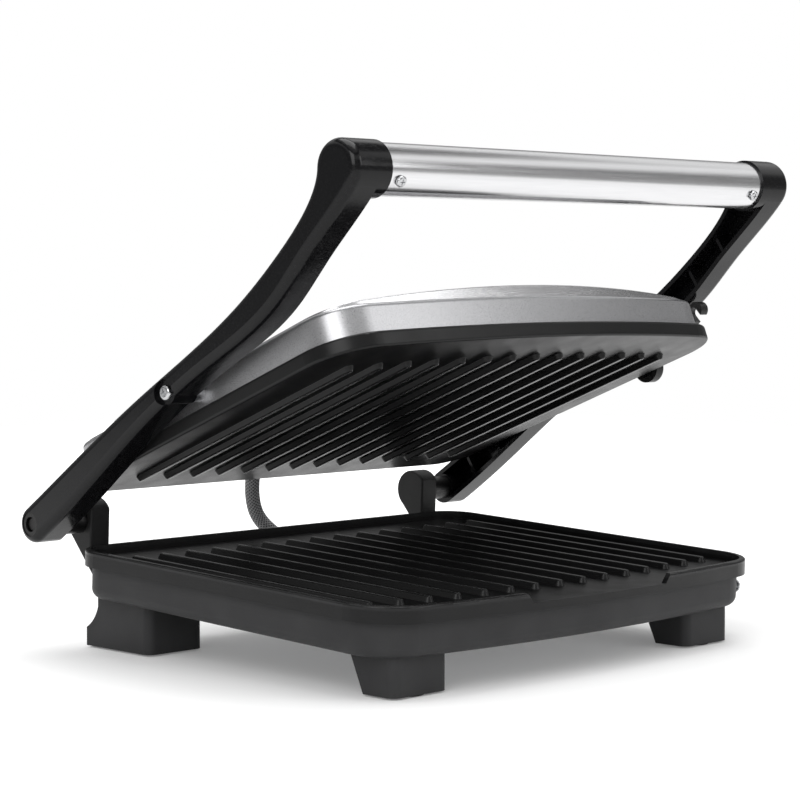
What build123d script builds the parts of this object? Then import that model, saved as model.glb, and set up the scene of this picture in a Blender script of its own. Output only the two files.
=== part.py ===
from build123d import *
import os
from math import atan2, cos, degrees, hypot, pi, radians, sin, tan

# Electric sandwich press with meshing ribbed plates, all sizes in millimetres.
# Three working frames: the plate frame has its origin at the middle of the lower rib tops,
# the arm frame at the rear hinge and the lid frame at the lid pivot. Front is -Y, right is +X.

# Lower plate
PLATE_WIDTH = 297.0
PLATE_DEPTH = 248.5
FRONT_BOW = 11.0
FRONT_CORNER_RADIUS = 30.0
BACK_CORNER_RADIUS = 20.0
PLATE_TILT = 2.4
PLATE_HEIGHT = 49.5
RIM_TOP = 1.85
RIM_WALL = 3.0
RIM_HEIGHT = 8.7
SLAB_THICKNESS = 4.5
SPOUT_WIDTH = 104.0
SPOUT_SLANT = 50.0

# Ribs of both plates
RIB_PITCH = 18.5
RIB_COUNT = 15
RIB_WIDTH = 5.8
RIB_HEIGHT = 3.0
RIB_TAPER = 23.0
RIB_ROUNDING = 1.0
RIB_BACK_MARGIN = 30.0
RIB_FRONT_MARGIN = 27.5

# Base housing and feet
HOUSING_INSET = 4.0
HOUSING_HEIGHT = 17.8
HOUSING_WALL = 2.5
HOUSING_EDGE_RADIUS = 5.5
COVER_WIDTH = 176.0
COVER_DEPTH = 176.0
COVER_THICKNESS = 1.5
COVER_LEDGE = 7.0
COVER_SLOT_LENGTH = 60.0
COVER_SLOT_WIDTH = 4.0
COVER_SLOT_COUNT = 7
COVER_SLOT_PITCH = 14.0
FOOT_WIDTH = 38.0
FRONT_FOOT_DEPTH = 21.0
REAR_FOOT_DEPTH = 53.4
FOOT_FLARE = 10.0
FOOT_FLARE_LOW = 11.0
FOOT_FLARE_HIGH = 23.0
FOOT_OUTER_X = PLATE_WIDTH / 2 - 17.5
FOOT_FRONT_Y = 20.25 - PLATE_DEPTH / 2
FOOT_BACK_Y = PLATE_DEPTH / 2 + 8.55
FOOT_CORNER = 5.0
PAD_RADIUS = 9.0
PAD_THICKNESS = 2.5
PAD_STAND = 1.0

# Rear hinge
HINGE_Y = PLATE_DEPTH / 2 + 10.25
HINGE_Z = 14.5
POST_INNER_X = PLATE_WIDTH / 2 - 27.0
POST_WIDTH = 13.0
POST_HEAD_RADIUS = 12.0
POST_BORE_DEPTH = 9.0
POST_EDGE = 1.2
HINGE_PIN_RADIUS = 4.0
BUSH_WALL = 2.4
SPACER_SLEEVE_RADIUS = 7.0

# Arms and handle tube
ARM_REST = 35.9
ARM_CLOSED = 3.1
ARM_INNER_X = PLATE_WIDTH / 2 + 2.0
ARM_THICKNESS = 17.5
ARM_WALL = 2.6
ARM_FACE = 3.8
ARM_EDGE_RADIUS = 4.5
ARM_END_RADIUS = 10.0
ARM_UPPER_EDGE = [(-115.0, 9.6, 0.0), (-195.0, 7.0, 2.0), (-240.0, 11.6, 20.0)]
ARM_LOWER_EDGE = [(-258.0, -1.0, 24.0), (-226.0, -8.2, 2.0), (-163.0, -6.0, 0.0), (-100.0, -5.0, 0.0)]
COLLAR_ANGLES = (145.0, 35.0, -72.0)
COLLAR_SLOPES = (55.0, 18.0)
ARM_RIB_THICKNESS = 1.8
ARM_RIB_PITCH = 26.0
TUBE_ALONG = 297.4
TUBE_ABOVE = 21.6
TUBE_RADIUS = 12.7
TUBE_WALL = 1.5
TUBE_HALF_LENGTH = ARM_INNER_X - 7.0
COLLAR_STEP = 1.2
SPIGOT_LENGTH = 22.0
TUBE_SCREW_INSET = 7.0
TUBE_SCREW_DROP = 26.0
M3_RADIUS = 1.5
M3_HEAD_RADIUS = 2.8
M3_HEAD_HEIGHT = 1.7

# Lid
LID_REST = 23.83
LID_PIVOT_ALONG = HINGE_Y
LID_PIVOT_ABOVE_RIBS = 20.44
UPPER_PLATE_BACK = PLATE_DEPTH / 2 - 8.25
UPPER_PLATE_FRONT = 4.0 - PLATE_DEPTH / 2
UPPER_PLATE_HEIGHT = 8.2
UPPER_RIB_HEIGHT = 2.8
UPPER_RIB_BACK_MARGIN = 24.0
BEZEL_INSET = 4.0
BEZEL_HEIGHT = 16.0
BEZEL_WALL = 2.5
BEZEL_EDGE_RADIUS = 2.5
PANEL_INSET = 7.6
PANEL_GAP = 0.8
PANEL_THICKNESS = 1.2
PANEL_CROWN = 6.6
PIVOT_SHOULDER_RADIUS = 3.0
PIVOT_HEAD_RADIUS = 3.9
PIVOT_HEAD_HEIGHT = 2.4
PIVOT_RECESS_RADIUS = 7.0
PIVOT_RECESS_DEPTH = 2.8
SPACER_RADIUS = 5.4
BRACKET_THICKNESS = 2.5
BRACKET_LENGTH = 30.0
BRACKET_FOOT = 14.0

# Heating parts
ELEMENT_RADIUS = 3.25
ELEMENT_BEND = 18.0
ELEMENT_HALF_WIDTH = 105.0
ELEMENT_FRONT = -82.0
ELEMENT_BACK = 66.0
ELEMENT_TERMINAL_X = 26.0
ELEMENT_TERMINAL_BACK = 92.0
CLIP_WALL = 1.5
CLIP_LENGTH = 9.0
THERMOSTAT_SIZE = (26.0, 18.0, 9.0)
FUSE_RADIUS = 2.0
FUSE_LENGTH = 16.0
TERMINAL_SIZE = (34.0, 18.0, 6.5)

# Lock latch
LATCH_ALONG = 178.0
LATCH_BELOW = 22.8
LATCH_STOWED = 10.0
LATCH_WIDTH = 9.0
LATCH_HEAD_RADIUS = 8.5
LATCH_INNER_X = ARM_INNER_X + 1.5
LATCH_THICKNESS = 6.0
LATCH_PIN_RADIUS = 2.0
STUD_Y = -87.0
STUD_Z = -19.0
STUD_RADIUS = 2.6
STUD_HEAD_RADIUS = 3.8
STUD_HEAD_LENGTH = 1.6
EAR_THICKNESS = 3.0

# Jumper between base and lid
JUMPER_RADIUS = 4.3
GROMMET_FLANGE = 2.0
LID_GROMMET_LIP = 0.6
INLET_X = -62.0
INLET_RADIUS = 5.5

# Fits
FACE_GAP = 0.3
RUNNING = 0.05
SCREW_CLEARANCE = 0.2

# Derived sizes of the lower plate and the housing
PLATE_FRONT = -PLATE_DEPTH / 2
PLATE_BACK = PLATE_DEPTH / 2
FLOOR_Z = -RIB_HEIGHT
RIM_BOTTOM = RIM_TOP - RIM_HEIGHT
SLAB_BOTTOM = FLOOR_Z - SLAB_THICKNESS
HOUSING_TOP = RIM_BOTTOM
HOUSING_BOTTOM = HOUSING_TOP - HOUSING_HEIGHT
HOUSING_SIDE = PLATE_WIDTH / 2 - HOUSING_INSET
HOUSING_REAR = PLATE_BACK - HOUSING_INSET
INNER_INSET = HOUSING_INSET + HOUSING_WALL
ARM_OUTER_X = ARM_INNER_X + ARM_THICKNESS
BUSH_RADIUS = HINGE_PIN_RADIUS + BUSH_WALL
COLLAR_RADIUS = TUBE_RADIUS + COLLAR_STEP
TUBE_BORE = TUBE_RADIUS - TUBE_WALL

# Derived heights of the lid, in the lid frame
UPPER_TIPS = -LID_PIVOT_ABOVE_RIBS
UPPER_FACE = UPPER_TIPS + UPPER_RIB_HEIGHT
UPPER_TOP = UPPER_FACE + UPPER_PLATE_HEIGHT
UPPER_SLAB_TOP = UPPER_FACE + SLAB_THICKNESS
BEZEL_TOP = UPPER_TOP + BEZEL_HEIGHT
BEZEL_SIDE = PLATE_WIDTH / 2 - BEZEL_INSET


def in_plate_frame(shape):
    return Pos(0, 0, PLATE_HEIGHT) * Rot(PLATE_TILT, 0, 0) * shape


def in_arm_frame(shape):
    return Pos(0, HINGE_Y, HINGE_Z) * Rot(-ARM_REST, 0, 0) * shape


LID_PIVOT_Y = HINGE_Y - LID_PIVOT_ALONG * cos(radians(ARM_REST))
LID_PIVOT_Z = HINGE_Z + LID_PIVOT_ALONG * sin(radians(ARM_REST))


def in_lid_frame(shape):
    return Pos(0, LID_PIVOT_Y, LID_PIVOT_Z) * Rot(-LID_REST, 0, 0) * shape


def both_sides(shape):
    """The shape and its mirror image in the middle plane, as two solids."""
    return [shape, mirror(shape, about=Plane.YZ)]


def x_rod(radius, x_from, x_to, y=0.0, z=0.0):
    """A round rod along X."""
    rod = Cylinder(radius, x_to - x_from, align=(Align.CENTER, Align.CENTER, Align.MIN))
    return Pos(x_from, y, z) * Rot(0, 90, 0) * rod


def block(x_from, x_to, y_from, y_to, z_from, z_to):
    """A box given by its faces."""
    middle = ((x_from + x_to) / 2, (y_from + y_to) / 2, (z_from + z_to) / 2)
    return Pos(*middle) * Box(x_to - x_from, y_to - y_from, z_to - z_from)


def bowed_plan(inset, back, front):
    """Plan of a plate or housing: straight sides and back, a front bowed outwards."""
    half = PLATE_WIDTH / 2 - inset
    rear = back - inset
    side_front = front + FRONT_BOW + inset
    edges = [
        Line((-half, rear), (half, rear)),
        Line((half, rear), (half, side_front)),
        ThreePointArc((half, side_front), (0, front + inset), (-half, side_front)),
        Line((-half, side_front), (-half, rear)),
    ]
    face = make_face(edges)
    face = fillet(face.vertices().sort_by(Axis.Y)[-2:], max(BACK_CORNER_RADIUS - inset, 2.0))
    return fillet(face.vertices().sort_by(Axis.Y)[:2], max(FRONT_CORNER_RADIUS - inset, 2.0))


def lower_plan(inset):
    return bowed_plan(inset, PLATE_BACK, PLATE_FRONT)


def upper_plan(inset):
    return bowed_plan(inset, UPPER_PLATE_BACK, UPPER_PLATE_FRONT)


def prism(plan, z_from, z_to):
    return Pos(0, 0, z_from) * extrude(plan, z_to - z_from)


def front_bow_at(x):
    """How far the bowed front lies behind its middle at a place across the plate."""
    return FRONT_BOW * (x / (PLATE_WIDTH / 2)) ** 2


def rib(x, back, front, height):
    """One cooking rib, a slot shape that narrows to its top, with sloping round ends."""
    plan = Rot(0, 0, 90) * SlotOverall(back - front, RIB_WIDTH)
    ridge = extrude(plan, height, taper=RIB_TAPER)
    ridge = fillet(ridge.faces().sort_by(Axis.Z)[-1].edges(), RIB_ROUNDING)
    return Pos(x, (back + front) / 2, 0) * ridge


def rib_places(count):
    return [(i - (count - 1) / 2) * RIB_PITCH for i in range(count)]


def lower_plate():
    plate = prism(lower_plan(0), RIM_BOTTOM, RIM_TOP)
    plate = fillet(plate.faces().sort_by(Axis.Z)[-1].edges(), 1.2)
    plate -= prism(lower_plan(RIM_WALL), FLOOR_Z, RIM_TOP + 1)
    slab_inset = INNER_INSET + FACE_GAP
    plate += prism(lower_plan(slab_inset), SLAB_BOTTOM, FLOOR_Z)
    for x in rib_places(RIB_COUNT):
        front = PLATE_FRONT + RIB_FRONT_MARGIN + front_bow_at(x)
        plate += Pos(0, 0, FLOOR_Z) * rib(x, PLATE_BACK - RIB_BACK_MARGIN, front, RIB_HEIGHT)
    return plate - spout_cut()


def spout_cut():
    """The gap in the front rim through which fat runs off, with slanted ends."""
    rise = RIM_TOP - FLOOR_Z + 2
    half = SPOUT_WIDTH / 2
    spread = rise / tan(radians(SPOUT_SLANT))
    corners = [
        (-half, FLOOR_Z),
        (half, FLOOR_Z),
        (half + spread, FLOOR_Z + rise),
        (-half - spread, FLOOR_Z + rise),
    ]
    face = Plane.XZ * make_face(Polyline(*corners, close=True))
    return Pos(0, PLATE_FRONT + RIM_WALL + 2, 0) * extrude(face, 20)


def base_housing():
    outer = prism(lower_plan(HOUSING_INSET), HOUSING_BOTTOM, HOUSING_TOP)
    outer = fillet(outer.faces().sort_by(Axis.Z)[0].edges(), HOUSING_EDGE_RADIUS)
    inner_bottom = HOUSING_BOTTOM + HOUSING_WALL + COVER_THICKNESS
    inner = prism(lower_plan(INNER_INSET), inner_bottom, HOUSING_TOP + 1)
    inner_edge = HOUSING_EDGE_RADIUS - HOUSING_WALL
    inner = fillet(inner.faces().sort_by(Axis.Z)[0].edges(), inner_edge)
    housing = outer - inner
    ledge = COVER_LEDGE * 2
    housing -= prism(RectangleRounded(COVER_WIDTH - ledge, COVER_DEPTH - ledge, 6),
                     HOUSING_BOTTOM - 1, inner_bottom + 1)
    housing -= prism(RectangleRounded(COVER_WIDTH, COVER_DEPTH, 8),
                     HOUSING_BOTTOM - 1, HOUSING_BOTTOM + COVER_THICKNESS)
    for x, y in cover_screw_places():
        housing -= Pos(x, y, inner_bottom) * Cylinder(M3_RADIUS, 4 * HOUSING_WALL)
    housing -= rear_wall_hole(JUMPER_BASE_X, JUMPER_BASE_Z, JUMPER_RADIUS + GROMMET_FLANGE / 2)
    housing -= rear_wall_hole(INLET_X, JUMPER_BASE_Z, INLET_RADIUS)
    stud_hole = STUD_RADIUS - 0.6
    housing -= x_rod(stud_hole, HOUSING_SIDE - 2 * HOUSING_WALL, HOUSING_SIDE + 1, STUD_Y, STUD_Z)
    return housing


def rear_wall_hole(x, z, radius):
    return Pos(x, HOUSING_REAR, z) * Rot(90, 0, 0) * Cylinder(radius, 4 * HOUSING_WALL)


def cover_screw_places():
    x = (COVER_WIDTH - COVER_LEDGE) / 2
    y = (COVER_DEPTH - COVER_LEDGE) / 2
    return [(sx * x, sy * y) for sx in (-1, 1) for sy in (-1, 0, 1)]


def bottom_cover():
    gap = 2 * FACE_GAP
    plan = RectangleRounded(COVER_WIDTH - gap, COVER_DEPTH - gap, 8 - FACE_GAP)
    cover = prism(plan, HOUSING_BOTTOM, HOUSING_BOTTOM + COVER_THICKNESS)
    for i in range(COVER_SLOT_COUNT):
        y = (i - (COVER_SLOT_COUNT - 1) / 2) * COVER_SLOT_PITCH
        slot = Pos(0, y) * SlotOverall(COVER_SLOT_LENGTH, COVER_SLOT_WIDTH)
        cover -= prism(slot, HOUSING_BOTTOM - 1, HOUSING_BOTTOM + COVER_THICKNESS + 1)
    for x, y in cover_screw_places():
        hole = M3_RADIUS + SCREW_CLEARANCE
        cover -= Pos(x, y, HOUSING_BOTTOM) * Cylinder(hole, 4 * COVER_THICKNESS)
    return cover


def m3_screw(length):
    """Pan head screw along Z, with the underside of its head at the origin."""
    head = Cylinder(M3_HEAD_RADIUS, M3_HEAD_HEIGHT, align=(Align.CENTER, Align.CENTER, Align.MIN))
    head = fillet(head.edges().sort_by(Axis.Z)[-1], 1.0)
    drive = 0.55
    head -= Pos(0, 0, M3_HEAD_HEIGHT) * (Box(3.0, drive, 1.4) + Box(drive, 3.0, 1.4))
    return head + Pos(0, 0, -length / 2) * Cylinder(M3_RADIUS, length)


def cover_screws():
    screw = Rot(180, 0, 0) * m3_screw(COVER_THICKNESS + HOUSING_WALL)
    return [Pos(x, y, HOUSING_BOTTOM) * screw for x, y in cover_screw_places()]


def foot(front):
    """One foot, upright in the model's own frame, its top cut to the sloping housing.

    The front foot widens upwards on its inner side. The rear foot is longer and stands out
    backwards below a hollow flare.
    """
    tall = PLATE_HEIGHT
    if front:
        corner_y = FOOT_FRONT_Y
        inner = corner_y + FRONT_FOOT_DEPTH
        outline = [Line((corner_y, PAD_STAND), (inner, PAD_STAND)),
                   Line((inner, PAD_STAND), (inner + FOOT_FLARE, FOOT_FLARE_HIGH)),
                   Line((inner + FOOT_FLARE, FOOT_FLARE_HIGH), (inner + FOOT_FLARE, tall)),
                   Line((inner + FOOT_FLARE, tall), (corner_y, tall)),
                   Line((corner_y, tall), (corner_y, PAD_STAND))]
    else:
        corner_y = FOOT_BACK_Y - REAR_FOOT_DEPTH
        upper = FOOT_BACK_Y - FOOT_FLARE
        hollow = (FOOT_BACK_Y - 0.65 * FOOT_FLARE, 0.45 * FOOT_FLARE_HIGH + 0.55 * FOOT_FLARE_LOW)
        outline = [Line((corner_y, PAD_STAND), (FOOT_BACK_Y, PAD_STAND)),
                   Line((FOOT_BACK_Y, PAD_STAND), (FOOT_BACK_Y, FOOT_FLARE_LOW)),
                   ThreePointArc((FOOT_BACK_Y, FOOT_FLARE_LOW), hollow, (upper, FOOT_FLARE_HIGH)),
                   Line((upper, FOOT_FLARE_HIGH), (upper, tall)),
                   Line((upper, tall), (corner_y, tall)),
                   Line((corner_y, tall), (corner_y, PAD_STAND))]
    solid = Pos(FOOT_OUTER_X - FOOT_WIDTH, 0, 0) * extrude(Plane.YZ * make_face(outline), FOOT_WIDTH)
    corners = solid.edges().filter_by(Axis.Z).filter_by(lambda e: abs(e.center().Y - corner_y) < 0.01)
    solid = fillet(corners, FOOT_CORNER)
    above = block(-PLATE_WIDTH, PLATE_WIDTH, -PLATE_DEPTH, PLATE_DEPTH,
                  HOUSING_BOTTOM, HOUSING_BOTTOM + 4 * HOUSING_HEIGHT)
    solid -= in_plate_frame(above)
    socket = Cylinder(PAD_RADIUS, 2 * (PAD_THICKNESS - PAD_STAND))
    for y in pad_places(front):
        solid -= Pos(FOOT_OUTER_X - FOOT_WIDTH / 2, y, PAD_STAND) * socket
    return solid


def pad_places(front):
    """Where the one pad of a front foot or a rear foot sits."""
    return [FOOT_FRONT_Y + FRONT_FOOT_DEPTH / 2] if front else [FOOT_BACK_Y - REAR_FOOT_DEPTH / 2]


def foot_pads():
    pads = []
    for y in pad_places(True) + pad_places(False):
        pad = Cylinder(PAD_RADIUS - RUNNING, PAD_THICKNESS,
                       align=(Align.CENTER, Align.CENTER, Align.MIN))
        pad = fillet(pad.edges().sort_by(Axis.Z)[0], 0.6)
        pads += both_sides(Pos(FOOT_OUTER_X - FOOT_WIDTH / 2, y, 0) * pad)
    return pads


def hinge_post():
    """Right-hand post: a round head for the hinge pin on a stem that leans back from the housing."""
    front = PLATE_BACK + FACE_GAP
    wall = HOUSING_REAR
    low = HOUSING_TOP - FACE_GAP
    foot_z = HOUSING_BOTTOM + HOUSING_EDGE_RADIUS + 2
    head = Pos(HINGE_Y, HINGE_Z) * Circle(POST_HEAD_RADIUS)
    head -= Pos(front - POST_HEAD_RADIUS, HINGE_Z) * Rectangle(2 * POST_HEAD_RADIUS, 4 * POST_HEAD_RADIUS)
    swell = (HINGE_Y + 0.8 * POST_HEAD_RADIUS, HINGE_Z - 0.6 * POST_HEAD_RADIUS)
    corners = [(front, HINGE_Z), (front, low), (wall, low), (wall, foot_z), swell, (HINGE_Y, HINGE_Z)]
    stem = make_face(Polyline(*corners, close=True))
    post = Pos(POST_INNER_X, 0, 0) * extrude(Plane.YZ * (head + stem), POST_WIDTH)
    rims = post.faces().sort_by(Axis.X)[0].edges() + post.faces().sort_by(Axis.X)[-1].edges()
    post = fillet(rims, POST_EDGE)
    outer = POST_INNER_X + POST_WIDTH
    return post - x_rod(HINGE_PIN_RADIUS, outer - POST_BORE_DEPTH, outer + 1, HINGE_Y, HINGE_Z)


def hinge_pin():
    end = ARM_OUTER_X - 2.0
    pin = x_rod(HINGE_PIN_RADIUS, POST_INNER_X + POST_WIDTH - POST_BORE_DEPTH, end, HINGE_Y, HINGE_Z)
    return chamfer(pin.edges().sort_by(Axis.X)[-1], 0.8)


def hinge_washer():
    """Plain spacer on the hinge pin, between the post and the arm."""
    face = POST_INNER_X + POST_WIDTH + FACE_GAP / 2
    end = ARM_INNER_X - FACE_GAP / 2
    disc = x_rod(SPACER_SLEEVE_RADIUS, face, end, HINGE_Y, HINGE_Z)
    return disc - x_rod(HINGE_PIN_RADIUS + RUNNING, face - 1, end + 1, HINGE_Y, HINGE_Z)


def hinge_bush():
    bush = x_rod(BUSH_RADIUS, ARM_INNER_X, ARM_OUTER_X - 0.6)
    return bush - x_rod(HINGE_PIN_RADIUS + RUNNING, ARM_INNER_X - 1, ARM_OUTER_X + 1)


def arm_outline(inset=0.0):
    """Side view of the arm: a straight shank from the hinge, then a bend up to the tube."""
    rear = ARM_END_RADIUS - inset
    end = COLLAR_RADIUS - inset
    top_angle, middle, low_angle = (radians(a) for a in COLLAR_ANGLES)

    def on_collar(angle):
        return (-TUBE_ALONG - end * cos(angle), TUBE_ABOVE + end * sin(angle))

    def inwards(points, side):
        """Moves each point of an edge inwards, square to the slope given with it."""
        return [(y - side * inset * sin(radians(a)), z - side * inset * cos(radians(a)))
                for y, z, a in points]

    upper = [(0, rear)] + inwards(ARM_UPPER_EDGE, 1) + [on_collar(top_angle)]
    lower = [on_collar(low_angle)] + inwards(ARM_LOWER_EDGE, -1) + [(0, -rear)]
    leave, arrive = (radians(a) for a in COLLAR_SLOPES)
    edges = [
        ThreePointArc((0, -rear), (rear, 0), (0, rear)),
        Spline(*upper, tangents=[(-1, 0), (-cos(leave), sin(leave))]),
        ThreePointArc(on_collar(top_angle), on_collar(middle), on_collar(low_angle)),
        Spline(*lower, tangents=[(cos(arrive), -sin(arrive)), (1, 0)]),
    ]
    return make_face(edges)


def arm():
    """Right arm: a moulded channel, open and ribbed on the inner side, glossy outside."""
    outline = arm_outline()
    shell = Pos(ARM_INNER_X, 0, 0) * extrude(Plane.YZ * outline, ARM_THICKNESS)
    shell = fillet(shell.faces().sort_by(Axis.X)[-1].edges(), ARM_EDGE_RADIUS)
    depth = ARM_THICKNESS - ARM_FACE
    cavity = Pos(ARM_INNER_X - 1, 0, 0) * extrude(Plane.YZ * arm_outline(ARM_WALL), depth + 1)
    solid = shell - cavity
    solid += cavity_ribs(cavity)
    solid += x_rod(BUSH_RADIUS + 1.8, ARM_INNER_X, ARM_OUTER_X - ARM_WALL)
    solid += x_rod(SPACER_RADIUS + 0.6, ARM_INNER_X, ARM_OUTER_X - ARM_WALL, -LID_PIVOT_ALONG)
    solid += x_rod(COLLAR_RADIUS, TUBE_HALF_LENGTH, ARM_OUTER_X - ARM_WALL - 2, -TUBE_ALONG, TUBE_ABOVE)
    spigot_radius = TUBE_BORE - RUNNING
    spigot = x_rod(spigot_radius, TUBE_HALF_LENGTH - SPIGOT_LENGTH, ARM_INNER_X, -TUBE_ALONG, TUBE_ABOVE)
    solid += spigot
    solid -= x_rod(spigot_radius - 3, TUBE_HALF_LENGTH - SPIGOT_LENGTH - 1, TUBE_HALF_LENGTH - 2,
                   -TUBE_ALONG, TUBE_ABOVE)
    solid -= x_rod(BUSH_RADIUS, ARM_INNER_X - 1, ARM_OUTER_X + 1)
    bore = PIVOT_SHOULDER_RADIUS + RUNNING
    solid -= x_rod(bore, ARM_INNER_X - 1, ARM_OUTER_X + 1, -LID_PIVOT_ALONG)
    solid -= x_rod(PIVOT_RECESS_RADIUS, ARM_OUTER_X - PIVOT_RECESS_DEPTH, ARM_OUTER_X + 1, -LID_PIVOT_ALONG)
    return solid - tube_screw_hole()


def cavity_ribs(cavity):
    """Thin cross ribs inside the channel of the arm."""
    ribs = None
    count = int((TUBE_ALONG - 30) // ARM_RIB_PITCH)
    for i in range(1, count + 1):
        y = -i * ARM_RIB_PITCH
        wall = block(ARM_INNER_X + 3, ARM_OUTER_X, y - ARM_RIB_THICKNESS / 2, y + ARM_RIB_THICKNESS / 2,
                     -TUBE_ALONG / 4, TUBE_ALONG / 4) & cavity
        ribs = wall if ribs is None else ribs + wall
    return ribs


def tube_screw_frame():
    """Place of the right tube screw: its head on the tube, facing forwards and down."""
    x = TUBE_HALF_LENGTH - TUBE_SCREW_INSET
    turn = ARM_REST - PLATE_TILT + TUBE_SCREW_DROP
    return Pos(x, -TUBE_ALONG, TUBE_ABOVE) * Rot(90 + turn, 0, 0) * Pos(0, 0, TUBE_RADIUS)


def tube_screw_hole():
    return tube_screw_frame() * Cylinder(M3_RADIUS, 16)


def handle_tube():
    tube = x_rod(TUBE_RADIUS, -TUBE_HALF_LENGTH, TUBE_HALF_LENGTH, -TUBE_ALONG, TUBE_ABOVE)
    tube -= x_rod(TUBE_BORE, -TUBE_HALF_LENGTH - 1, TUBE_HALF_LENGTH + 1, -TUBE_ALONG, TUBE_ABOVE)
    for hole in both_sides(tube_screw_frame() * Cylinder(M3_RADIUS + SCREW_CLEARANCE / 2, 8)):
        tube -= hole
    return tube


def tube_screws():
    return both_sides(tube_screw_frame() * Pos(0, 0, 0.35) * m3_screw(7.5))


def upper_plate():
    back = UPPER_PLATE_BACK
    plate = prism(upper_plan(0), UPPER_FACE, UPPER_TOP)
    plate = fillet(plate.faces().sort_by(Axis.Z)[0].edges(), 1.5)
    plate = fillet(plate.faces().sort_by(Axis.Z)[-1].edges(), 1.5)
    skirt = BEZEL_INSET + BEZEL_WALL
    plate -= prism(upper_plan(skirt), UPPER_SLAB_TOP, UPPER_TOP + 1)
    rear = back - UPPER_RIB_BACK_MARGIN
    for x in rib_places(RIB_COUNT - 1):
        front = UPPER_PLATE_FRONT + RIB_FRONT_MARGIN + front_bow_at(x)
        plate += Pos(0, 0, UPPER_FACE) * mirror(rib(x, rear, front, UPPER_RIB_HEIGHT), about=Plane.XY)
    return plate


def lid_bezel():
    back = UPPER_PLATE_BACK
    shell = prism(upper_plan(BEZEL_INSET), UPPER_TOP, BEZEL_TOP)
    shell = fillet(shell.faces().sort_by(Axis.Z)[-1].edges(), BEZEL_EDGE_RADIUS)
    hollow = BEZEL_INSET + BEZEL_WALL
    shell -= prism(upper_plan(hollow), UPPER_TOP - 1, BEZEL_TOP - BEZEL_WALL)
    opening = PANEL_INSET + 4 * BEZEL_WALL
    shell -= prism(upper_plan(opening), UPPER_TOP, BEZEL_TOP + 1)
    step = prism(upper_plan(PANEL_INSET), BEZEL_TOP - PANEL_GAP, BEZEL_TOP + 1)
    shell -= step
    for hole in both_sides(x_rod(PIVOT_SHOULDER_RADIUS + SCREW_CLEARANCE, BEZEL_SIDE - 8, BEZEL_SIDE + 1)):
        shell -= hole
    grommet = Pos(JUMPER_LID_X, back - BEZEL_INSET, JUMPER_LID_Z) * Rot(90, 0, 0)
    shell -= grommet * Cylinder(JUMPER_RADIUS + GROMMET_FLANGE / 2, 4 * BEZEL_WALL)
    return shell


def top_panel():
    """Brushed sheet panel, slightly crowned, sitting in the step of the bezel."""
    back = UPPER_PLATE_BACK
    inset = PANEL_INSET + FACE_GAP
    base = BEZEL_TOP - PANEL_GAP
    plan = upper_plan(inset)
    panel = prism(plan, base, base + PANEL_THICKNESS + PANEL_CROWN)
    hollow = prism(upper_plan(inset + PANEL_THICKNESS),
                   base - 1, base + PANEL_THICKNESS + PANEL_CROWN)
    half = PLATE_WIDTH / 2
    drum_radius = (half ** 2 + PANEL_CROWN ** 2) / (2 * PANEL_CROWN)
    middle_z = base + PANEL_THICKNESS + PANEL_CROWN - drum_radius
    drum = Pos(0, 0, middle_z) * Rot(90, 0, 0) * Cylinder(drum_radius, 3 * PLATE_DEPTH)
    sheet = fillet((panel & drum).faces().sort_by(Axis.Z)[-1].edges(), 0.5)
    return sheet - (hollow & (Pos(0, 0, -PANEL_THICKNESS) * drum))


def lid_bracket():
    """Right-hand steel angle on the upper plate that takes the pivot screw."""
    outer = BEZEL_SIDE - BEZEL_WALL - FACE_GAP
    half = BRACKET_LENGTH / 2
    top = BEZEL_TOP - BEZEL_WALL - FACE_GAP
    wall = block(outer - BRACKET_THICKNESS, outer, -half, half, UPPER_SLAB_TOP, top)
    base = block(outer - BRACKET_FOOT, outer, -half, half, UPPER_SLAB_TOP, UPPER_SLAB_TOP + BRACKET_THICKNESS)
    bracket = wall + base
    bracket = fillet(bracket.edges().filter_by(Axis.X).sort_by(Axis.Z)[-2:], 4)
    return bracket - x_rod(PIVOT_SHOULDER_RADIUS - 1, outer - BRACKET_THICKNESS - 1, outer + 1)


def pivot_screw():
    """Right-hand shoulder screw on which the arm turns, with a cross recess in its head."""
    seat = ARM_OUTER_X - PIVOT_RECESS_DEPTH + RUNNING
    thread_from = BEZEL_SIDE - BEZEL_WALL - FACE_GAP
    screw = x_rod(PIVOT_SHOULDER_RADIUS, thread_from, seat)
    screw += x_rod(PIVOT_SHOULDER_RADIUS - 1, thread_from - BRACKET_THICKNESS - 1.5, thread_from)
    head = x_rod(PIVOT_HEAD_RADIUS, seat, seat + PIVOT_HEAD_HEIGHT)
    head = fillet(head.edges().sort_by(Axis.X)[-1], 1.5)
    drive = 0.8
    cross = Box(1.8, 4.2, drive) + Box(1.8, drive, 4.2)
    return screw + head - Pos(seat + PIVOT_HEAD_HEIGHT, 0, 0) * cross


def pivot_spacer():
    outer = ARM_INNER_X - FACE_GAP / 2
    ring = x_rod(SPACER_RADIUS, BEZEL_SIDE, outer)
    return ring - x_rod(PIVOT_SHOULDER_RADIUS + RUNNING, BEZEL_SIDE - 1, outer + 1)


def heating_element(level):
    """Tubular element bent into one loop with both ends at the rear."""
    x, end = ELEMENT_HALF_WIDTH, ELEMENT_TERMINAL_X
    points = [(-end, ELEMENT_TERMINAL_BACK), (-end, ELEMENT_BACK), (-x, ELEMENT_BACK), (-x, ELEMENT_FRONT),
              (x, ELEMENT_FRONT), (x, ELEMENT_BACK), (end, ELEMENT_BACK), (end, ELEMENT_TERMINAL_BACK)]
    path = FilletPolyline(*points, radius=ELEMENT_BEND)
    start = Plane(origin=(-end, ELEMENT_TERMINAL_BACK, 0), z_dir=(0, -1, 0))
    return Pos(0, 0, level) * sweep(start * Circle(ELEMENT_RADIUS), path=path)


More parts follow.
